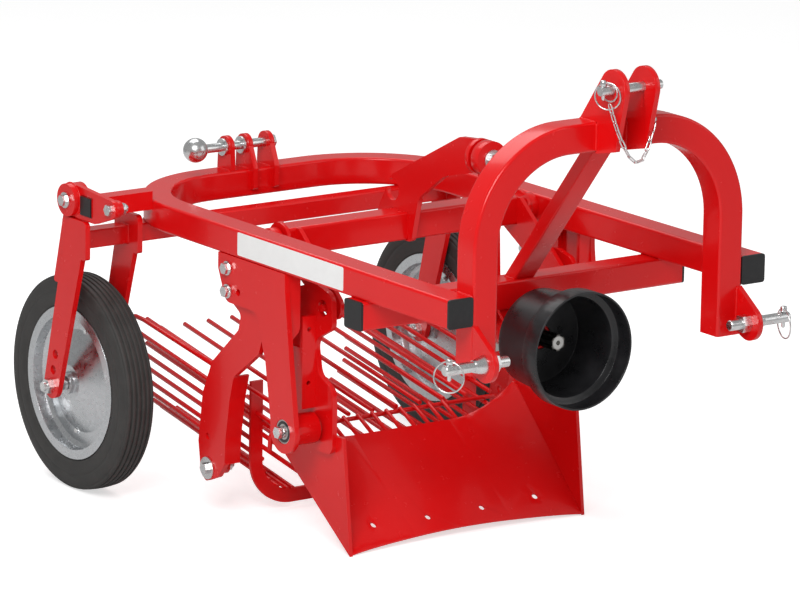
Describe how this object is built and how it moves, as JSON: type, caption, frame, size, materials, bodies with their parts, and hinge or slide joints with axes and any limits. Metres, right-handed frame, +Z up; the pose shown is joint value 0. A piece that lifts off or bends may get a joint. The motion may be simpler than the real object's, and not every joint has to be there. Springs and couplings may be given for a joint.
{
  "type": "tractor-mounted potato digger",
  "caption": "Tractor-mounted potato digger with a bent tube frame, hitch arch, shaking share with rod sieve, guarded drive shaft and gauge wheels.",
  "frame": {"origin": "middle of the footprint, on the ground", "axes": "+X to the right of a person facing rearward, +Y rearward from the hitch to the wheels, +Z up"},
  "size_m": [1.154, 1.549, 1.085],
  "materials": {
    "red_paint": "gloss powder coat",
    "cap_plastic": "moulded",
    "guard_plastic": "moulded, slightly shiny",
    "tyre_rubber": "ribbed tread",
    "galvanised": "galvanised pressed sheet",
    "zinc_plate": "bright zinc plate",
    "bearing_steel": "ground",
    "machined_steel": "turned"
  },
  "bodies": {
    "chassis": {"main_frame": "red_paint", "rail_end_caps": "cap_plastic", "front_crossbar": "red_paint", "crossbar_caps": "cap_plastic", "hitch_arch": "red_paint", "mast_brace": "red_paint", "lower_link_plates": "red_paint", "lower_link_pin_left": "zinc_plate", "lower_link_pin_right": "zinc_plate", "top_link_plates": "red_paint", "top_link_pin": "zinc_plate", "hanger_left": "red_paint", "hanger_right": "red_paint", "share_bearings": "bearing_steel", "side_arm_left": "red_paint", "side_arm_right": "red_paint", "side_arm_bolts": "zinc_plate", "rocker_bearings": "red_paint", "drive_housing": "red_paint", "shaft_guard": "guard_plastic", "axle_beam": "red_paint", "wheel_legs_left": "red_paint", "wheel_legs_right": "red_paint", "axle_bolt_left": "zinc_plate", "axle_bolt_right": "zinc_plate", "wheel_link_left": "red_paint", "link_bracket_left": "red_paint", "link_cap": "cap_plastic", "link_bolts": "zinc_plate", "rear_lugs": "red_paint", "rear_pin": "zinc_plate"},
    "wheel_left": {"tyre_left": "tyre_rubber", "wheel_disc_left": "galvanised"},
    "wheel_right": {"tyre_right": "tyre_rubber", "wheel_disc_right": "galvanised"},
    "pto_shaft": {"drive_shaft": "machined_steel", "crank": "machined_steel"},
    "drive_rod": {"drive_rod": "red_paint", "rod_bolt": "zinc_plate"},
    "rocker": {"rocker_tube": "red_paint", "drive_lever": "red_paint", "rocker_arms": "red_paint"},
    "share_unit": {"share_blade": "red_paint", "share_side_left": "red_paint", "share_side_right": "red_paint", "share_pivots": "zinc_plate", "shank_left": "red_paint", "shank_right": "red_paint", "share_comb": "red_paint", "sieve_floor": "red_paint", "sieve_cage": "red_paint", "sieve_side_rods": "red_paint", "sieve_hoop": "red_paint"}
  },
  "joints": [
    {"name": "wheel_left_spin", "type": "hinge", "parent": "chassis", "child": "wheel_left", "pos_m": [-0.475, 0.5395, 0.235], "axis": [1, 0, 0], "continuous": true},
    {"name": "wheel_right_spin", "type": "hinge", "parent": "chassis", "child": "wheel_right", "pos_m": [0.475, 0.5395, 0.235], "axis": [1, 0, 0], "continuous": true},
    {"name": "pto_spin", "type": "hinge", "parent": "chassis", "child": "pto_shaft", "pos_m": [0, -0.3075, 0.478], "axis": [0, 1, 0], "continuous": true},
    {"name": "crank_pin", "type": "hinge", "parent": "pto_shaft", "child": "drive_rod", "pos_m": [0.012, -0.2795, 0.478], "axis": [0, 1, 0], "continuous": true},
    {"name": "share_shake", "type": "hinge", "parent": "chassis", "child": "share_unit", "pos_m": [0, -0.1125, 0.256], "axis": [1, 0, 0], "range_deg": [-0.98, 0.98]},
    {"name": "rocker_swing", "type": "hinge", "parent": "chassis", "child": "rocker", "pos_m": [0, 0.0355, 0.622], "axis": [1, 0, 0], "range_deg": [-2.3, 2.3]}
  ],
  "couplings": [
    {"joint": "crank_pin", "follows": "pto_spin", "ratio": -1},
    {"joint": "rocker_swing", "follows": "share_shake", "ratio": -2.3273}
  ]
}
